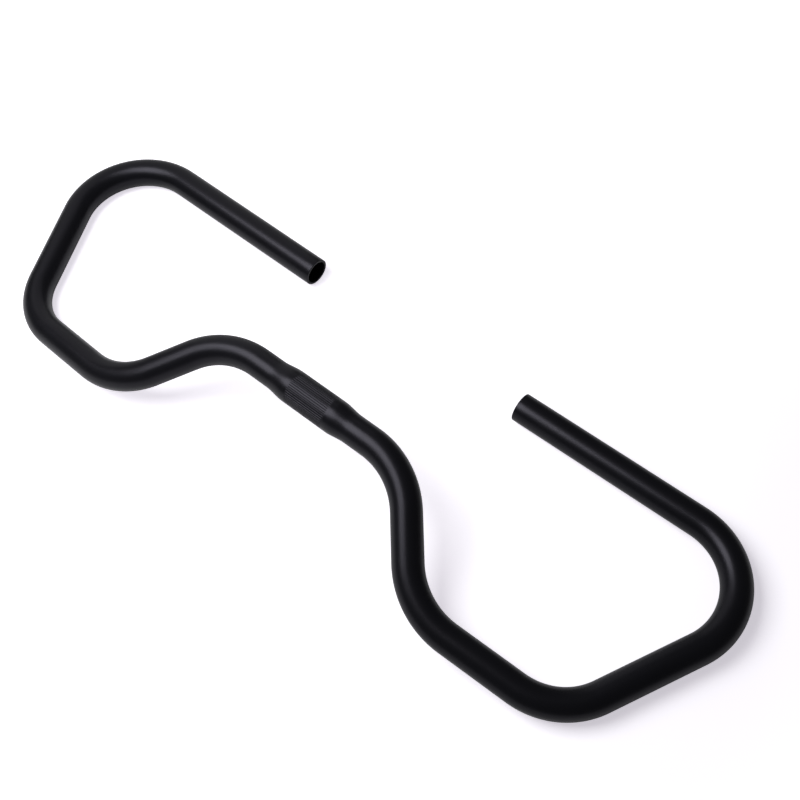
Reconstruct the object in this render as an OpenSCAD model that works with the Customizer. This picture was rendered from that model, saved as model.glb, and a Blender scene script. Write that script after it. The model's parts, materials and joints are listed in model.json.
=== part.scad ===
// Butterfly handlebar for a touring bicycle, bent from one aluminium tube.
// The middle of the tube is left at its full diameter and knurled where the stem clamps it.
// Four bends on each side lead the tube forwards, down, out round the wing and back towards the rider.
// All sizes are in millimetres and degrees.
// The origin is the middle of the clamp zone. +X is to the rider's left, -Y is forwards and +Z is up.
// The wings lie flat: the bar rests on them, and the clamp zone stands above them.

/* [Tube] */
// Outside diameter of the tube, which grips and brake levers fit
tube_d = 22.2; // [20:0.1:24]
// Wall of the tube outside the clamp zone
tube_wall = 2; // [1.2:0.1:3]
// How far bending draws the wall in from its outer and inner face
bend_draw = 0.02; // [0.01:0.01:0.1]
// Width of the broken edges at the two open ends
end_chamfer = 0.4; // [0.1:0.05:0.5]

/* [Clamp zone] */
// Outside diameter where the stem clamps the bar
clamp_d = 25.4; // [25:0.1:31.8]
// Length of the clamp zone at its full diameter
clamp_len = 40; // [36:1:50]
// Wall of the tube in the clamp zone
clamp_wall = 2.4; // [1.6:0.1:4]
// Length over which the clamp zone narrows to the tube
taper_len = 16; // [10:1:22]
// Length of the knurled band
knurl_len = 36; // [20:1:36]
// Grooves round the knurled band
knurl_grooves = 48; // [24:2:60]
// Depth of one right-angled groove
knurl_depth = 0.35; // [0.1:0.05:0.5]

/* [Bend radii, at the centre line] */
// Radius of the two bends beside the clamp zone
inner_bend_r = 62; // [40:1:80]
// Radius of the two bends round the wing
wing_bend_r = 54; // [40:1:70]

/* [Straight lengths, from the middle outwards] */
// From the middle of the bar to the start of the first bend
centre_half_len = 52; // [48:0.5:80]
// Between the first and the second bend
rise_len = 33.5; // [10:0.5:80]
// Between the second and the third bend
front_len = 53; // [20:0.5:90]
// Between the third and the fourth bend
side_len = 71.5; // [40:0.5:100]
// From the fourth bend to the open end, where the grip goes
grip_len = 150; // [110:1:190]

/* [Bend angles] */
// First bend, forwards and down from the clamp zone
rise_angle = 52.5; // [40:0.5:65]
// Second bend, back across the bar
level_angle = 53; // [40:0.5:65]
// Third bend, towards the rider at the front of the wing
front_angle = 61.5; // [50:0.5:72]
// Fourth bend, back towards the middle at the side of the wing
side_angle = 116; // [108:0.5:122]

/* [Turns of the tube between bends] */
// Turn about the tube before the second bend
level_turn = 9.8; // [0:0.1:20]
// Turn about the tube before the third bend
front_turn = 15.7; // [5:0.1:20]

/* [Hidden] */

// Facets round the tube and per full turn of a bend, for the preview only
tube_facets = 48;
bend_facets = 60;
// Straight facets that follow the curve of one taper
taper_steps = 8;
// Reach of the cutters past the surfaces that they cut
cut_margin = 1;
// Each straight stretch runs this far into its bends, whose drawn wall lies within its own.
lap = 0.2;

tube_r = tube_d / 2;
bore_r = tube_r - tube_wall;
clamp_r = clamp_d / 2;
clamp_bore_r = clamp_r - clamp_wall;

// A frame is [direction of the tube, direction of its bend plane], both unit vectors.
function turned(v, axis, a) =
    v * cos(a) + cross(axis, v) * sin(a) + axis * (axis * v) * (1 - cos(a));
function after_turn(frame, a) = [frame[0], turned(frame[1], frame[0], a)];
function across(frame) = cross(frame[0], frame[1]);
function after_bend(frame, a) =
    [turned(frame[0], across(frame), a), turned(frame[1], across(frame), a)];

// Frame at the end of the third bend, in the plane of the first one
first_end = after_bend([[1, 0, 0], [0, 1, 0]], -rise_angle);
second_end = after_bend(after_turn(first_end, -level_turn), level_angle);
third_end = after_bend(after_turn(second_end, -front_turn), front_angle);

// The last turn brings the fourth bend parallel to the clamp axis, so that both wings share one plane.
third_across = across(third_end);
side_turn = atan(-third_across[0] / cross(third_end[0], third_across)[0]);
wing_normal = turned(third_across, third_end[0], side_turn);
// The whole bar then tips about the clamp axis until that plane is level.
level_tilt = atan2(wing_normal[1], wing_normal[2]);

// Smooth step from 0 to 1
function eased(u) = u * u * (3 - 2 * u);

// Half profile [radius, distance along the bar] from the middle to the first bend
function half_profile(middle_r, end_r) = concat(
    [for (i = [0 : taper_steps])
        let (u = i / taper_steps)
        [middle_r + (end_r - middle_r) * eased(u), clamp_len / 2 + taper_len * u]],
    [[end_r, centre_half_len + lap]]);
function reversed(list) = [for (i = [len(list) - 1 : -1 : 0]) list[i]];
function mirrored(list) = [for (p = reversed(list)) [p[0], -p[1]]];
function full_profile(middle_r, end_r) =
    concat(mirrored(half_profile(middle_r, end_r)), half_profile(middle_r, end_r));

// Turns a shape along Z to lie along X, the direction of the tube in each frame.
module along_tube() {
    rotate([0, 90, 0])
        children();
}

// Centre of the bar: the clamp zone, its two tapers and the tube up to the first bends
module centre_tube() {
    along_tube()
        rotate_extrude($fn = tube_facets)
            polygon(concat(
                full_profile(clamp_r, tube_r),
                reversed(full_profile(clamp_bore_r, bore_r))));
}

// One right-angled groove in section, its tip on +X and its mouth past the surface
module groove_section() {
    reach = knurl_depth + cut_margin;
    polygon([
        [clamp_r - knurl_depth, 0],
        [clamp_r - knurl_depth + reach, -reach],
        [clamp_r - knurl_depth + reach, reach]]);
}

// Straight grooves round the clamp zone, which leave true round lands between them.
// The first groove lies half a pitch round, so that the count starts on a land.
module knurl_grooves_cutter() {
    pitch = 360 / knurl_grooves;
    along_tube()
        for (i = [0 : knurl_grooves - 1])
            rotate([0, 0, (i + 1 / 2) * pitch])
                translate([0, 0, -knurl_len / 2])
                    linear_extrude(knurl_len)
                        groove_section();
}

// A straight stretch of tube from the origin along +X, lapped into the bend at each end
module straight(length) {
    whole = length + 2 * lap;
    along_tube()
        translate([0, 0, -lap])
            difference() {
                cylinder(h = whole, r = tube_r, $fn = tube_facets);
                translate([0, 0, -cut_margin])
                    cylinder(h = whole + 2 * cut_margin, r = bore_r, $fn = tube_facets);
            }
}

// The last stretch, open at its end, with its edges broken inside and out
module open_end(length) {
    along_tube()
        rotate_extrude($fn = tube_facets)
            polygon([
                [bore_r, -lap],
                [tube_r, -lap],
                [tube_r, length - end_chamfer],
                [tube_r - end_chamfer, length],
                [bore_r + end_chamfer, length],
                [bore_r, length - end_chamfer]]);
}

// Moves to the frame at the end of a bend towards +Y (side 1) or -Y (side -1).
module past_bend(radius, angle, side) {
    translate([0, side * radius, 0])
        rotate([0, 0, side * angle])
            translate([0, -side * radius, 0])
                children();
}

// A bend from the origin, whose tube starts along +X and turns towards +Y (side 1) or -Y (side -1)
module bend(radius, angle, side) {
    rotate([side > 0 ? 0 : 180, 0, 0])
        translate([0, radius, 0])
            rotate([0, 0, -90])
                rotate_extrude(angle = angle, $fn = bend_facets)
                    translate([radius, 0])
                        difference() {
                            circle(r = tube_r - bend_draw, $fn = tube_facets);
                            circle(r = bore_r + bend_draw, $fn = tube_facets);
                        }
}

// One side of the bar from the first bend to the open end, each stretch in the frame of the last
module side_tube() {
    translate([centre_half_len, 0, 0]) {
        bend(inner_bend_r, rise_angle, -1);
        past_bend(inner_bend_r, rise_angle, -1) {
            straight(rise_len);
            translate([rise_len, 0, 0]) rotate([-level_turn, 0, 0]) {
                bend(inner_bend_r, level_angle, 1);
                past_bend(inner_bend_r, level_angle, 1) {
                    straight(front_len);
                    translate([front_len, 0, 0]) rotate([-front_turn, 0, 0]) {
                        bend(wing_bend_r, front_angle, 1);
                        past_bend(wing_bend_r, front_angle, 1) {
                            straight(side_len);
                            translate([side_len, 0, 0]) rotate([side_turn, 0, 0]) {
                                bend(wing_bend_r, side_angle, 1);
                                past_bend(wing_bend_r, side_angle, 1)
                                    open_end(grip_len);
                            }
                        }
                    }
                }
            }
        }
    }
}

module handlebar() {
    color("#26262a")
        rotate([level_tilt, 0, 0]) {
            difference() {
                centre_tube();
                knurl_grooves_cutter();
            }
            side_tube();
            mirror([1, 0, 0])
                side_tube();
        }
}

handlebar();
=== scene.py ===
"""Butterfly handlebar: the finished look of one bent, knurled and anodised tube, with its stage.

The file is laid out as a Blender add-on and run as a script. Sizes are in metres, angles in radians.
"""

import json
import math
from typing import NamedTuple

import bpy
import numpy as np
from bpy.props import FloatProperty, FloatVectorProperty, IntProperty, PointerProperty
from mathutils import Matrix, Vector


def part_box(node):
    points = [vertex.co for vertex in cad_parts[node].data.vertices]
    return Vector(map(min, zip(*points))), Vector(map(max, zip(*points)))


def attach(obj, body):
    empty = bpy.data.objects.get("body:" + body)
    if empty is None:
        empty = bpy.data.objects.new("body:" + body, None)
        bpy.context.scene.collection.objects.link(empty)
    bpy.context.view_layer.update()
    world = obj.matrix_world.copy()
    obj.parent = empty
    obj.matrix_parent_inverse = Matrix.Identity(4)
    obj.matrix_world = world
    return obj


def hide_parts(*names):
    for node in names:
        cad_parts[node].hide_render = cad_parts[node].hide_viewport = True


bl_info = {
    "name": "Butterfly Handlebar",
    "version": (1, 0, 0),
    "blender": (4, 5, 0),
    "location": "3D View > Sidebar > Handlebar",
    "description": "Bends a knurled butterfly handlebar from one tube and sets it on a plain stage",
    "category": "Add Mesh",
}

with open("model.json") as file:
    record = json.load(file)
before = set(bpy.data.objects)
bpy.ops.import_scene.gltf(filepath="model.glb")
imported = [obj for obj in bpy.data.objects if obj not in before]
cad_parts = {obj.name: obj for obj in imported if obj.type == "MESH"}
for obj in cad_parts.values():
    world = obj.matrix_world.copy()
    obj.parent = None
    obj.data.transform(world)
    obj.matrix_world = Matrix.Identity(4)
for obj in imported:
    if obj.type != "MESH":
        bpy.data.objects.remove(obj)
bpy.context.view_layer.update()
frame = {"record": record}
BAR_NODE = "handlebar"
FLOOR_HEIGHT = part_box(BAR_NODE)[0].z
MOUNTS = {mount["name"]: mount["dims"] for mount in frame["record"]["mounts"]}
MM = 0.001


def mount_size(name, key):
    """A mount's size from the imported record, in metres."""
    return MOUNTS[name][key] * MM


def linear(hex_colour):
    """Linear RGBA of an sRGB hex colour: c / 12.92 up to 0.04045, and ((c + 0.055) / 1.055) ** 2.4 above."""
    channels = np.array([int(hex_colour[i:i + 2], 16) for i in (1, 3, 5)]) / 255
    bright = ((channels + 0.055) / 1.055) ** 2.4
    return (*np.where(channels > 0.04045, bright, channels / 12.92), 1.0)


class TubeSizes(bpy.types.PropertyGroup):
    """Sections of the tube"""

    tube_diameter: FloatProperty(
        name="Tube diameter", description="Outside diameter where grips and brake levers fit",
        default=2 * mount_size("left_grip_seat", "r_mm"), min=0.01, unit="LENGTH")
    tube_bore: FloatProperty(
        name="Tube bore", description="Inside diameter of the tube",
        default=2 * mount_size("left_tube_end", "r_mm"), min=0.005, unit="LENGTH")
    clamp_diameter: FloatProperty(
        name="Clamp diameter", description="Outside diameter where the stem clamps the bar",
        default=2 * mount_size("stem_clamp", "r_mm"), min=0.01, unit="LENGTH")
    clamp_bore: FloatProperty(
        name="Clamp bore", description="Inside diameter in the clamp zone",
        default=20.6 * MM, min=0.005, unit="LENGTH")
    clamp_length: FloatProperty(
        name="Clamp length", description="Length of the clamp zone at its full diameter",
        default=mount_size("stem_clamp", "length_mm"), min=0.01, unit="LENGTH")
    taper_length: FloatProperty(
        name="Taper length", description="Length over which the clamp zone narrows to the tube",
        default=16 * MM, min=0.001, unit="LENGTH")
    edge_radius: FloatProperty(
        name="Edge radius", description="Rounding of the tube's two rims, inside and outside",
        default=0.4 * MM, min=0.00005, unit="LENGTH")


class KnurlSizes(bpy.types.PropertyGroup):
    """Straight knurl of the clamp zone"""

    length: FloatProperty(
        name="Length", description="Length of the knurled band",
        default=36 * MM, min=0.005, unit="LENGTH")
    grooves: IntProperty(
        name="Grooves", description="Grooves round the band, an even number",
        default=48, min=12, max=96, step=2)
    depth: FloatProperty(
        name="Depth", description="Depth of one right-angled groove, to its V's point",
        default=0.30 * MM, min=0.00005, unit="LENGTH")
    fade: FloatProperty(
        name="Fade", description="Length over which a groove rises to the surface at each end",
        default=2.2 * MM, min=0.0001, unit="LENGTH")
    bottom_rounding: FloatProperty(
        name="Bottom rounding",
        description="How far the rounded bottom of a groove stands above its V's point",
        default=0.05 * MM, min=0.00001, unit="LENGTH")
    edge_rounding: FloatProperty(
        name="Edge rounding", description="How softly the blasted lands turn into the grooves",
        default=0.03 * MM, min=0.00001, unit="LENGTH")


class BendTable(bpy.types.PropertyGroup):
    """Straight lengths, bend radii, bend angles and turns, from the middle outwards"""

    centre_half: FloatProperty(
        name="Centre half", description="From the middle to the first bend",
        default=52 * MM, min=0.01, unit="LENGTH")
    rise_length: FloatProperty(
        name="Rise", description="Straight between the first and the second bend",
        default=33.5 * MM, min=0.001, unit="LENGTH")
    front_length: FloatProperty(
        name="Front", description="Straight between the second and the third bend",
        default=53 * MM, min=0.001, unit="LENGTH")
    side_length: FloatProperty(
        name="Side", description="Straight between the third and the fourth bend",
        default=71.5 * MM, min=0.001, unit="LENGTH")
    grip_length: FloatProperty(
        name="Grip", description="Straight from the fourth bend to the open end",
        default=150 * MM, min=0.01, unit="LENGTH")
    inner_radius: FloatProperty(
        name="Inner radius", description="Centre line radius of the two bends beside the clamp zone",
        default=62 * MM, min=0.02, unit="LENGTH")
    wing_radius: FloatProperty(
        name="Wing radius", description="Centre line radius of the two bends round the wing",
        default=54 * MM, min=0.02, unit="LENGTH")
    rise_angle: FloatProperty(
        name="First bend", description="Forwards and down from the clamp zone",
        default=math.radians(52.5), min=0, max=math.pi, unit="ROTATION")
    level_angle: FloatProperty(
        name="Second bend", description="Back across the bar",
        default=math.radians(53), min=0, max=math.pi, unit="ROTATION")
    front_angle: FloatProperty(
        name="Third bend", description="Towards the rider at the front of the wing",
        default=math.radians(61.5), min=0, max=math.pi, unit="ROTATION")
    side_angle: FloatProperty(
        name="Fourth bend", description="Back towards the middle at the side of the wing",
        default=math.radians(116), min=0, max=math.pi, unit="ROTATION")
    level_turn: FloatProperty(
        name="Second turn", description="Turn about the tube before the second bend",
        default=math.radians(9.8), min=0, max=math.pi, unit="ROTATION")
    front_turn: FloatProperty(
        name="Third turn", description="Turn about the tube before the third bend",
        default=math.radians(15.7), min=0, max=math.pi, unit="ROTATION")


class FinishSettings(bpy.types.PropertyGroup):
    """Black anodising over bead-blasted aluminium"""

    dye: FloatVectorProperty(
        name="Dye", description="Colour of the dyed oxide skin",
        default=linear("#0d0d10"), size=4, subtype="COLOR", min=0, max=1)
    worn_dye: FloatVectorProperty(
        name="Paler dye", description="Colour where the dye has taken least",
        default=linear("#121216"), size=4, subtype="COLOR", min=0, max=1)
    gloss_tint: FloatVectorProperty(
        name="Gloss tint",
        description="Colour of the gloss, a little violet from the dye under the clear oxide",
        default=linear("#f0edff"), size=4, subtype="COLOR", min=0, max=1)
    roughness: FloatProperty(
        name="Roughness", description="Mean roughness of the blasted skin",
        default=0.33, min=0, max=1, subtype="FACTOR")
    roughness_spread: FloatProperty(
        name="Roughness spread", description="How far the roughness wanders to either side",
        default=0.03, min=0, max=0.3, subtype="FACTOR")
    oxide_ior: FloatProperty(
        name="Oxide IOR",
        description="Refractive index of the sealed oxide skin, less what its pores swallow",
        default=1.33, min=1, max=2.5)
    grit: FloatProperty(
        name="Grit", description="Width of one dimple of the blasted skin",
        default=0.5 * MM, min=0.00005, unit="LENGTH")
    grit_height: FloatProperty(
        name="Grit height", description="Height of the dimples",
        default=0.006 * MM, min=0, precision=6, unit="LENGTH")


class StageSettings(bpy.types.PropertyGroup):
    """Floor, dim room and lamps"""

    floor_colour: FloatVectorProperty(
        name="Floor", description="Colour of the floor",
        default=linear("#f4f4f6"), size=4, subtype="COLOR", min=0, max=1)
    floor_size: FloatProperty(
        name="Floor size", description="Width of the square floor",
        default=12, min=1, unit="LENGTH")
    floor_glow: FloatProperty(
        name="Floor glow",
        description="White added to what the camera sees of the floor at the middle and right",
        default=0.71, min=0, max=1)
    dim_side_glow: FloatProperty(
        name="Dim side glow", description="The same under the left wing, furthest from the key softbox",
        default=0.57, min=0, max=1)
    dim_side: FloatProperty(
        name="Dim side",
        description="Distance along X from the middle to where the dim side's glow is reached",
        default=0.28, min=0.01, unit="LENGTH")
    lit_radius: FloatProperty(
        name="Lit radius",
        description="How far the lamps light the floor, past which the glow makes up for them",
        default=0.32, min=0.1, unit="LENGTH")
    far_glow: FloatProperty(
        name="Far glow",
        description="White added to what the camera sees far out, over 1 so that its tint burns out",
        default=1.1, min=0, max=2)
    glow_tint: FloatVectorProperty(
        name="Glow tint", description="Colour of the white that is added, which shows in the shadows",
        default=linear("#faf5ff"), size=4, subtype="COLOR", min=0, max=1)
    mirrored_glow: FloatProperty(
        name="Mirrored glow", description="White added to what gloss and glass show of the floor",
        default=0.04, min=0, max=1)
    ambient: FloatProperty(
        name="Ambient", description="Strength of the dim room round the stage",
        default=0.08, min=0, max=1)
    key_strength: FloatProperty(
        name="Key strength",
        description="Light from the key softbox, where 1 shows a face turned to it as its colour",
        default=0.85, min=0)
    key_azimuth: FloatProperty(
        name="Key azimuth", description="Direction of the key softbox, from +X towards +Y",
        default=math.radians(-142), min=-math.pi, max=math.pi, unit="ROTATION")
    key_elevation: FloatProperty(
        name="Key elevation", description="Height of the key softbox above the floor",
        default=math.radians(62), min=0, max=math.pi / 2, unit="ROTATION")
    key_distance: FloatProperty(
        name="Key distance", description="From the middle of the bar to the key softbox",
        default=0.96, min=0.5, unit="LENGTH")
    key_size: FloatProperty(
        name="Key size", description="Width of the square key softbox",
        default=0.63, min=0.1, unit="LENGTH")
    fill_strength: FloatProperty(
        name="Fill strength", description="Light from the fill softbox, on the same scale",
        default=0.14, min=0)
    fill_azimuth: FloatProperty(
        name="Fill azimuth", description="Direction of the fill softbox, from +X towards +Y",
        default=math.radians(148), min=-math.pi, max=math.pi, unit="ROTATION")
    fill_elevation: FloatProperty(
        name="Fill elevation", description="Height of the fill softbox above the floor",
        default=math.radians(28), min=0, max=math.pi / 2, unit="ROTATION")
    fill_distance: FloatProperty(
        name="Fill distance", description="From the middle of the bar to the fill softbox",
        default=0.8, min=0.5, unit="LENGTH")
    fill_size: FloatProperty(
        name="Fill size", description="Width of the square fill softbox",
        default=0.76, min=0.1, unit="LENGTH")


class Stretch(NamedTuple):
    """One stretch of the tube: its length, the radius of its bend (0 if straight) and the bend's clock.

    The clock is the direction of the bend's centre, turned from the right axis towards the up axis.
    """

    length: float
    radius: float
    clock: float


def carried(stretch, start, axes, distance):
    """Points and axes along one stretch, for an array of distances from its start.

    Axes are three unit rows: ahead, right and up. On a straight the point is start + ahead * distance.
    In a bend with clock c, inward = right cos c + up sin c and across = up cos c - right sin c. After the
    angle t = distance / radius the point is start + radius (ahead sin t + inward (1 - cos t)), and ahead and
    inward have become ahead cos t + inward sin t and inward cos t - ahead sin t. Across stays.
    """
    ahead, right, up = axes
    if not stretch.radius:
        return start + distance[:, None] * ahead, np.repeat(axes[None], len(distance), axis=0)
    cos_clock, sin_clock = math.cos(stretch.clock), math.sin(stretch.clock)
    inward = right * cos_clock + up * sin_clock
    across = up * cos_clock - right * sin_clock
    angle = (distance / stretch.radius)[:, None]
    points = start + stretch.radius * (ahead * np.sin(angle) + inward * (1 - np.cos(angle)))
    turned_ahead = ahead * np.cos(angle) + inward * np.sin(angle)
    turned_inward = inward * np.cos(angle) - ahead * np.sin(angle)
    turned_right = turned_inward * cos_clock - across * sin_clock
    turned_up = turned_inward * sin_clock + across * cos_clock
    return points, np.stack([turned_ahead, turned_right, turned_up], axis=1)


def half_line(stretches, axes, distance):
    """Centre line of one half of the bar, for an array of distances from the middle.

    Each stretch starts where the last one ends, and a later stretch takes over the points beyond its start.
    """
    points = np.zeros((len(distance), 3))
    point_axes = np.zeros((len(distance), 3, 3))
    start, reached = np.zeros(3), 0.0
    for stretch in stretches:
        beyond = distance >= reached
        points[beyond], point_axes[beyond] = carried(stretch, start, axes, distance[beyond] - reached)
        ends, end_axes = carried(stretch, start, axes, np.array([stretch.length]))
        start, axes = ends[0], end_axes[0]
        reached += stretch.length
    return points, point_axes


def tilted_axes(tilt):
    """Ahead, right and up at the middle of the bar: X, and Y and Z turned about X by the tilt."""
    cos, sin = math.cos(tilt), math.sin(tilt)
    return np.array([[1, 0, 0], [0, cos, sin], [0, -sin, cos]], float)


class Bar:
    """The bar's centre line, worked out from the bend table."""

    def __init__(self, table):
        second_clock = -table.level_turn
        third_clock = second_clock - table.front_turn
        inner, wing = table.inner_radius, table.wing_radius
        self.stretches = [
            Stretch(table.centre_half, 0, 0),
            Stretch(inner * table.rise_angle, inner, math.pi),
            Stretch(table.rise_length, 0, 0),
            Stretch(inner * table.level_angle, inner, second_clock),
            Stretch(table.front_length, 0, 0),
            Stretch(wing * table.front_angle, wing, third_clock),
            Stretch(table.side_length, 0, 0),
        ]
        last_clock, self.tilt = self.levelled_wing()
        self.stretches += [
            Stretch(wing * table.side_angle, wing, last_clock),
            Stretch(table.grip_length, 0, 0),
        ]
        self.length = sum(stretch.length for stretch in self.stretches)

    def levelled_wing(self):
        """Clock of the fourth bend and tilt of the bar that lay both wings in one level plane.

        With right and up the axes before the fourth bend, its axis up cos c - right sin c has no X part
        where tan c = up_x / right_x, and the bar then tilts by atan2(y, z) of that axis.
        """
        reach = np.array([sum(stretch.length for stretch in self.stretches)])
        _, end_axes = half_line(self.stretches, tilted_axes(0), reach)
        _, right, up = end_axes[0]
        clock = math.atan(up[0] / right[0])
        wing_axis = up * math.cos(clock) - right * math.sin(clock)
        return clock, math.atan2(wing_axis[1], wing_axis[2])

    def line(self, distance):
        """Points and axes for an array of distances, negative ones on the mirrored half."""
        points, axes = half_line(self.stretches, tilted_axes(self.tilt), np.abs(distance))
        side = np.where(distance < 0, -1.0, 1.0)
        points[:, 0] *= side
        axes[:, :, 0] *= side[:, None]
        return points, axes

    def sweep(self, distance, radius, angle):
        """Grid of points with one row a distance and one column an angle.

        Each point is the centre line's + radius (right cos(angle) + up sin(angle)). The radius is an
        array of rows, or of rows and columns.
        """
        points, axes = self.line(distance)
        spokes = (axes[:, None, 1] * np.cos(angle)[None, :, None]
                  + axes[:, None, 2] * np.sin(angle)[None, :, None])
        return points[:, None] + np.reshape(radius, (len(distance), -1, 1)) * spokes

    def marks(self, straight_step, bend_step):
        """Distances of the rings along one half: even steps in each stretch, of at most those sizes."""
        marks, reached = [], 0.0
        for stretch in self.stretches:
            size = stretch.radius * bend_step if stretch.radius else straight_step
            steps = math.ceil(stretch.length / size)
            marks.append(reached + stretch.length * np.linspace(0, 1, steps + 1))
            reached += stretch.length
        return np.concatenate(marks)


def eased(share):
    """Smooth step from 0 to 1: 3 u^2 - 2 u^3, held at its ends."""
    share = np.clip(share, 0, 1)
    return share * share * (3 - 2 * share)


# Marks are distances in metres, rounded to this many decimals so that two alike become one
MARK_DECIMALS = 9
MARK_TOLERANCE = 10 ** -MARK_DECIMALS


def sorted_marks(*parts):
    """All marks in rising order, each of them once."""
    return np.unique(np.concatenate(parts).round(MARK_DECIMALS))


def band_faces(first, rows, columns):
    """Quads between neighbouring rows of a grid whose columns close round the tube."""
    row, column = np.meshgrid(np.arange(rows - 1), np.arange(columns), indexing="ij")
    after = (column + 1) % columns
    corners = [row * columns + column, row * columns + after,
               (row + 1) * columns + after, (row + 1) * columns + column]
    return first + np.stack(corners, axis=-1).reshape(-1, 4)


def stitch_faces(coarse, fine):
    """Triangles between a coarse ring and a fine one that has several points to each coarse gap.

    The first half of a gap's fine edges fan out from the gap's first coarse point and the rest from its
    second, with one triangle between the two fans.
    """
    ratio = len(fine) // len(coarse)
    middle = ratio // 2
    following = np.roll(coarse, -1)
    gaps = np.append(fine, fine[0])[np.arange(len(coarse))[:, None] * ratio + np.arange(ratio + 1)]
    fans = [np.stack([coarse if i < middle else following, gaps[:, i + 1], gaps[:, i]], axis=1)
            for i in range(ratio)]
    fans.append(np.stack([coarse, following, gaps[:, middle]], axis=1))
    return np.concatenate(fans)


# Columns of the plain wall to each groove of the knurl
COARSE_COLUMNS_A_GROOVE = 2
# Shares of one knurl pitch, from the middle of a land, at which the knurl's columns lie
GROOVE_COLUMNS = np.array([0, 0.13, 0.24, 0.3, 0.39, 0.46, 0.5, 0.54, 0.61, 0.7, 0.76, 0.87])
# Share at which a groove's middle lies
GROOVE_MIDDLE = 0.5
# Steps between the rings of the plain wall: along a straight, and round a bend
OUTER_STEPS = (12 * MM, math.radians(2))
BORE_STEPS = (25 * MM, math.radians(4))
# Step between the rings of a taper
TAPER_STEP = 0.5 * MM
# Steps round each edge of a rim, in the knurl's plain part to either side, and in its fade
RIM_STEPS = 6
PLAIN_STEPS = 3
FADE_STEPS = 5
# How far inside the clamp zone's end the plain wall starts
KNURL_MARGIN = 0.3 * MM


def wall_profile(bar, tube):
    """Distance and radius of each ring, from beside the knurl out to the rim and back in to the middle.

    A taper is an eased step from the clamp's radius to the tube's. The rim's edges are quarter circles:
    distance = flat end + rim sin t, and radius = outer radius - rim (1 - cos t) or bore radius + the same.
    """
    rim = tube.edge_radius
    flat_end = bar.length - rim
    clamp_half = tube.clamp_length / 2
    taper = np.arange(0, tube.taper_length + TAPER_STEP / 2, TAPER_STEP) + clamp_half

    def along(steps, first):
        marks = sorted_marks(bar.marks(*steps), taper, [first, flat_end])
        return marks[(marks >= first - MARK_TOLERANCE) & (marks <= flat_end + MARK_TOLERANCE)]

    def radius(marks, clamp, end):
        return (clamp + (end - clamp) * eased((marks - clamp_half) / tube.taper_length)) / 2

    outer = along(OUTER_STEPS, clamp_half - KNURL_MARGIN)
    bore = along(BORE_STEPS, 0)[::-1]
    turn = np.linspace(0, math.pi / 2, RIM_STEPS + 1)
    outer_turn = turn[1:]
    distance = np.concatenate([
        outer, flat_end + rim * np.sin(outer_turn),
        flat_end + rim * np.cos(turn), bore[1:]])
    radii = np.concatenate([
        radius(outer, tube.clamp_diameter, tube.tube_diameter),
        tube.tube_diameter / 2 - rim * (1 - np.cos(outer_turn)),
        tube.tube_bore / 2 + rim * (1 - np.sin(turn)),
        radius(bore[1:], tube.clamp_bore, tube.tube_bore)])
    return distance, radii


def knurl_profile(tube, knurl):
    """Distances of the knurl's rings, angles of its columns and the radius at each crossing.

    Across a groove the wall is a right-angled V of depth v = depth - sqrt(x^2 + bottom^2), where x is the
    distance from the groove's middle. Where v is negative the round surface takes over, softly:
    (v + sqrt(v^2 + edge^2)) / 2. Along the groove this eases to nothing at both ends.
    """
    clamp_radius = tube.clamp_diameter / 2
    pitch = 2 * math.pi / knurl.grooves
    angle = ((np.arange(knurl.grooves)[:, None] + GROOVE_COLUMNS) * pitch).ravel()
    half = knurl.length / 2
    plain = np.linspace(0, half - knurl.fade, PLAIN_STEPS + 1)
    fade = np.linspace(half - knurl.fade, half, FADE_STEPS + 1)
    # The band's last ring is midway between the knurl's end and the first ring of the plain wall
    edge = [(half + tube.clamp_length / 2 - KNURL_MARGIN) / 2]
    positive = sorted_marks(plain, fade, edge)
    distance = np.concatenate([-positive[:0:-1], positive])
    x = (np.tile(GROOVE_COLUMNS, knurl.grooves) - GROOVE_MIDDLE) * pitch * clamp_radius
    v = knurl.depth - np.hypot(x, knurl.bottom_rounding)
    across = (v + np.hypot(v, knurl.edge_rounding)) / 2
    along = eased((half - np.abs(distance)) / knurl.fade)
    return distance, angle, clamp_radius - along[:, None] * across


def bar_mesh(bar, tube, knurl):
    """The closed surface of the bar.

    One strip of rings goes from beside the knurl round the rim, through the bore, round the other rim and
    back, and the finer knurled band is stitched into its gap.
    """
    columns = knurl.grooves * COARSE_COLUMNS_A_GROOVE
    angle = np.linspace(0, 2 * math.pi, columns, endpoint=False)
    distance, radius = wall_profile(bar, tube)
    strip = bar.sweep(np.append(distance, -distance[-2::-1]), np.append(radius, radius[-2::-1]), angle)
    knurl_distance, knurl_angle, knurl_radius = knurl_profile(tube, knurl)
    band = bar.sweep(knurl_distance, knurl_radius, knurl_angle)
    rows, band_rows, band_columns = len(strip), len(band), len(knurl_angle)
    first = rows * columns
    last_ring = first + (band_rows - 1) * band_columns
    ring = np.arange(columns)
    band_ring = np.arange(band_columns)
    quads = np.concatenate([band_faces(0, rows, columns), band_faces(first, band_rows, band_columns)])
    triangles = np.concatenate([
        stitch_faces(ring, last_ring + band_ring)[:, ::-1],
        stitch_faces((rows - 1) * columns + ring, first + band_ring)])
    points = np.concatenate([strip.reshape(-1, 3), band.reshape(-1, 3)])
    mesh = bpy.data.meshes.new(BAR_NODE)
    mesh.from_pydata(points.tolist(), [], quads.tolist() + triangles.tolist())
    mesh.validate()
    mesh.shade_smooth()
    return mesh


def add_node(owner, kind, links=(), **settings):
    """Adds a node of that kind to a material or world.

    Links are (output, name or number of the input) pairs, and settings are attributes or inputs.
    """
    node = owner.node_tree.nodes.new(kind)
    for name, value in settings.items():
        if hasattr(node, name):
            setattr(node, name, value)
        else:
            node.inputs[name.replace("_", " ")].default_value = value
    for output, target in links:
        owner.node_tree.links.new(output, node.inputs[target])
    return node


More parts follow.
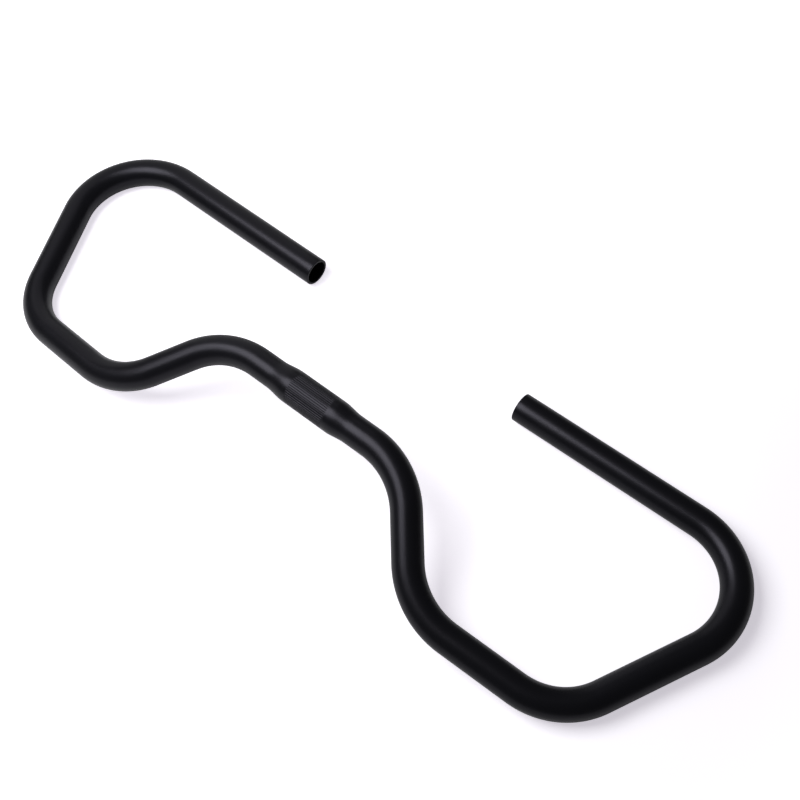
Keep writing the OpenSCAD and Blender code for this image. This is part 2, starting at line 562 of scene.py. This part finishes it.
def new_material(name):
    """An empty node material."""
    material = bpy.data.materials.new(name)
    material.use_nodes = True
    material.node_tree.nodes.clear()
    return material


# Numbers of a Mix node's colour sockets, whose names it has more than once
MIX_COLOUR_A = 6
MIX_COLOUR_B = 7
MIX_COLOUR_RESULT = 2
# Size of the patches in which the dye takes unevenly
BATH_MARK = 30 * MM
# Size of the patches that the blasting left rougher or smoother
BLASTING_PASS = 6 * MM


def black_anodised_aluminium(finish):
    """Black anodised aluminium, bead blasted and then dyed and sealed.

    The dye swallows nearly all diffuse light. The clear oxide over the blasted dimples gives one broad, soft
    grey gloss, a little violet from the dye under it.
    """
    material = new_material("black_anodised_blasted_aluminium")
    place = add_node(material, "ShaderNodeTexCoord").outputs["Object"]
    # Bath marks: the dye takes unevenly over a few centimetres
    bath = add_node(material, "ShaderNodeTexNoise", [(place, "Vector")], Scale=1 / BATH_MARK, Detail=2.0)
    colour = add_node(material, "ShaderNodeMix", [(bath.outputs["Fac"], "Factor")], data_type="RGBA")
    colour.inputs[MIX_COLOUR_A].default_value = finish.dye
    colour.inputs[MIX_COLOUR_B].default_value = finish.worn_dye
    # Blasting passes: the skin is rougher and smoother over a few millimetres
    passes = add_node(material, "ShaderNodeTexNoise", [(place, "Vector")],
                      Scale=1 / BLASTING_PASS, Detail=3.0)
    rough = add_node(material, "ShaderNodeMapRange", [(passes.outputs["Fac"], "Value")])
    rough.inputs["To Min"].default_value = finish.roughness - finish.roughness_spread
    rough.inputs["To Max"].default_value = finish.roughness + finish.roughness_spread
    # Real blasting grit leaves dimples of about 0.1 mm, which are drawn coarser so that they show
    grit = add_node(material, "ShaderNodeTexNoise", [(place, "Vector")], Scale=1 / finish.grit, Detail=2.0)
    bump = add_node(material, "ShaderNodeBump", [(grit.outputs["Fac"], "Height")], Strength=1.0)
    bump.inputs["Distance"].default_value = finish.grit_height
    skin = add_node(material, "ShaderNodeBsdfPrincipled", [
        (colour.outputs[MIX_COLOUR_RESULT], "Base Color"),
        (rough.outputs["Result"], "Roughness"),
        (bump.outputs["Normal"], "Normal")], IOR=finish.oxide_ior, Specular_Tint=finish.gloss_tint)
    add_node(material, "ShaderNodeOutputMaterial", [(skin.outputs[0], "Surface")])
    return material


# Radius at which the floor is full white, in lit radii
FULL_WHITE_RADII = 2


def white_floor(stage):
    """Matt white card that takes the shadow.

    White is added to what is seen of it, as a camera exposed for a black tube burns out a white floor: most
    for the camera itself, and less in gloss and glass.
    """
    material = new_material("matt_white_card")
    path = add_node(material, "ShaderNodeLightPath").outputs
    mirrored = add_node(material, "ShaderNodeMath", [
        (path["Is Glossy Ray"], 0), (path["Is Transmission Ray"], 1)], operation="MAXIMUM")
    mirrored_glow = add_node(material, "ShaderNodeMath", [(mirrored.outputs[0], 0)], operation="MULTIPLY")
    mirrored_glow.inputs[1].default_value = stage.mirrored_glow
    place = add_node(material, "ShaderNodeTexCoord").outputs["Object"]
    along = add_node(material, "ShaderNodeSeparateXYZ", [(place, 0)]).outputs["X"]
    # Painted shade: less white is added towards the dim side, furthest from the key softbox, so the floor's
    # shadows there come out darker, standing in for the key's light falling off
    near_glow = add_node(material, "ShaderNodeMapRange", [(along, "Value")])
    near_glow.inputs["From Max"].default_value = stage.dim_side
    near_glow.inputs["To Min"].default_value = stage.floor_glow
    near_glow.inputs["To Max"].default_value = stage.dim_side_glow
    # Further out the glow rises to full white, so that the floor meets the white behind it without a line
    reach = add_node(material, "ShaderNodeVectorMath", [(place, 0)], operation="LENGTH")
    seen_glow = add_node(material, "ShaderNodeMapRange", [
        (reach.outputs["Value"], "Value"), (near_glow.outputs["Result"], "To Min")],
        interpolation_type="SMOOTHSTEP")
    seen_glow.inputs["From Min"].default_value = stage.lit_radius
    seen_glow.inputs["From Max"].default_value = FULL_WHITE_RADII * stage.lit_radius
    seen_glow.inputs["To Max"].default_value = stage.far_glow
    glow = add_node(material, "ShaderNodeMath", [
        (path["Is Camera Ray"], 0), (seen_glow.outputs["Result"], 1), (mirrored_glow.outputs[0], 2)],
        operation="MULTIPLY_ADD")
    card = add_node(material, "ShaderNodeBsdfDiffuse", Color=stage.floor_colour)
    white = add_node(material, "ShaderNodeEmission", [(glow.outputs[0], "Strength")],
                     Color=stage.glow_tint)
    both = add_node(material, "ShaderNodeAddShader", [(card.outputs[0], 0), (white.outputs[0], 1)])
    add_node(material, "ShaderNodeOutputMaterial", [(both.outputs[0], "Surface")])
    return material


def dim_room(stage):
    """World: white behind the stage for the camera, and a dim grey room for all light and reflections."""
    world = bpy.data.worlds.new("dim_room")
    world.use_nodes = True
    world.node_tree.nodes.clear()
    camera_ray = add_node(world, "ShaderNodeLightPath").outputs["Is Camera Ray"]
    strength = add_node(world, "ShaderNodeMapRange", [(camera_ray, "Value")])
    strength.inputs["To Min"].default_value = stage.ambient
    strength.inputs["To Max"].default_value = 1.0
    back = add_node(world, "ShaderNodeBackground", [(strength.outputs["Result"], "Strength")])
    back.inputs["Color"].default_value = (1, 1, 1, 1)
    add_node(world, "ShaderNodeOutputWorld", [(back.outputs[0], "Surface")])
    return world


def link_object(name, data):
    """A new object at the origin, in the scene."""
    made = bpy.data.objects.new(name, data)
    bpy.context.scene.collection.objects.link(made)
    return made


def direction(azimuth, elevation):
    """Unit vector at an azimuth from +X towards +Y and an elevation above the floor."""
    return Vector((math.cos(elevation) * math.cos(azimuth),
                   math.cos(elevation) * math.sin(azimuth), math.sin(elevation)))


def aimed(place, target, roll=0.0):
    """World matrix of a lamp or camera at a place that looks at a target, turned about its view by roll."""
    turn = (Vector(target) - Vector(place)).to_track_quat("-Z", "Y").to_matrix().to_4x4()
    return Matrix.Translation(place) @ turn @ Matrix.Rotation(roll, 4, "Z")


# The photograph's camera: its place, the point of the floor at the middle of its picture, its roll and lens
CAMERA_PLACE = (0.3430, -0.2657, 0.7071)
CAMERA_TARGET = (0.0224, 0.0626, FLOOR_HEIGHT)
CAMERA_ROLL = math.radians(-5.37)
CAMERA_LENS_MM = 53.59
CAMERA_SENSOR_MM = 36.0
CAMERA_CLIP_START = 10 * MM


def add_camera():
    """Makes the scene's camera."""
    data = bpy.data.cameras.new("camera")
    data.sensor_width = CAMERA_SENSOR_MM
    data.lens = CAMERA_LENS_MM
    data.clip_start = CAMERA_CLIP_START
    camera = link_object("camera", data)
    camera.matrix_world = aimed(CAMERA_PLACE, CAMERA_TARGET, CAMERA_ROLL)
    bpy.context.scene.camera = camera


def add_softbox(name, azimuth, elevation, distance, size, strength):
    """A square area lamp aimed at the bar.

    At strength 1 it sends pi watts a square metre to a face that looks at it, which shows the face as its
    colour: power = strength * pi^2 * distance^2.
    """
    data = bpy.data.lights.new(name, "AREA")
    data.size = size
    data.energy = strength * math.pi ** 2 * distance ** 2
    lamp = link_object(name, data)
    middle = Vector((0, 0, FLOOR_HEIGHT))
    lamp.matrix_world = aimed(middle + direction(azimuth, elevation) * distance, middle)
    lamp.visible_camera = False


class HANDLEBAR_OT_bend_tube(bpy.types.Operator):
    """Bend the whole handlebar from its table and give it its anodised finish"""

    bl_idname = "handlebar.bend_tube"
    bl_label = "Bend the tube"

    def execute(self, context):
        scene = context.scene
        mesh = bar_mesh(Bar(scene.handlebar_bends), scene.handlebar_tube, scene.handlebar_knurl)
        mesh.materials.append(black_anodised_aluminium(scene.handlebar_finish))
        piece = link_object("bent_tube", mesh)
        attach(piece, "root")
        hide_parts(BAR_NODE)
        return {"FINISHED"}


class HANDLEBAR_OT_set_stage(bpy.types.Operator):
    """Lay the white floor, and set up the camera, the lamps and the dim room"""

    bl_idname = "handlebar.set_stage"
    bl_label = "Set the stage"

    def execute(self, context):
        scene = context.scene
        stage = scene.handlebar_stage
        half = stage.floor_size / 2
        corners = [(-half, -half, FLOOR_HEIGHT), (half, -half, FLOOR_HEIGHT),
                   (half, half, FLOOR_HEIGHT), (-half, half, FLOOR_HEIGHT)]
        mesh = bpy.data.meshes.new("floor")
        mesh.from_pydata(corners, [], [(0, 1, 2, 3)])
        mesh.materials.append(white_floor(stage))
        link_object("floor", mesh)
        add_camera()
        add_softbox("key_softbox", stage.key_azimuth, stage.key_elevation,
                    stage.key_distance, stage.key_size, stage.key_strength)
        add_softbox("fill_softbox", stage.fill_azimuth, stage.fill_elevation,
                    stage.fill_distance, stage.fill_size, stage.fill_strength)
        scene.world = dim_room(stage)
        scene.view_settings.view_transform = "Standard"
        return {"FINISHED"}


class VIEW3D_PT_handlebar(bpy.types.Panel):
    """Sizes, finish and stage of the handlebar"""

    bl_label = "Butterfly handlebar"
    bl_idname = "VIEW3D_PT_handlebar"
    bl_space_type = "VIEW_3D"
    bl_region_type = "UI"
    bl_category = "Handlebar"

    def draw(self, context):
        for label, name in SETTINGS:
            box = self.layout.box()
            box.label(text=label)
            group = getattr(context.scene, name)
            for key in group.__annotations__:
                box.prop(group, key)
        self.layout.operator("handlebar.bend_tube")
        self.layout.operator("handlebar.set_stage")


SETTINGS = [
    ("Tube", "handlebar_tube"),
    ("Knurl", "handlebar_knurl"),
    ("Bends", "handlebar_bends"),
    ("Finish", "handlebar_finish"),
    ("Stage", "handlebar_stage"),
]
GROUPS = [TubeSizes, KnurlSizes, BendTable, FinishSettings, StageSettings]
CLASSES = [*GROUPS, HANDLEBAR_OT_bend_tube, HANDLEBAR_OT_set_stage, VIEW3D_PT_handlebar]


def register():
    """Registers the classes and gives each scene its settings."""
    for made in CLASSES:
        bpy.utils.register_class(made)
    for (_, name), group in zip(SETTINGS, GROUPS):
        setattr(bpy.types.Scene, name, PointerProperty(type=group))


def unregister():
    """Takes the settings and the classes away again."""
    for _, name in SETTINGS:
        delattr(bpy.types.Scene, name)
    for made in reversed(CLASSES):
        bpy.utils.unregister_class(made)


def main():
    """Registers the add-on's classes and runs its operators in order."""
    register()
    bpy.ops.handlebar.bend_tube()
    bpy.ops.handlebar.set_stage()


if __name__ == "__main__":
    main()
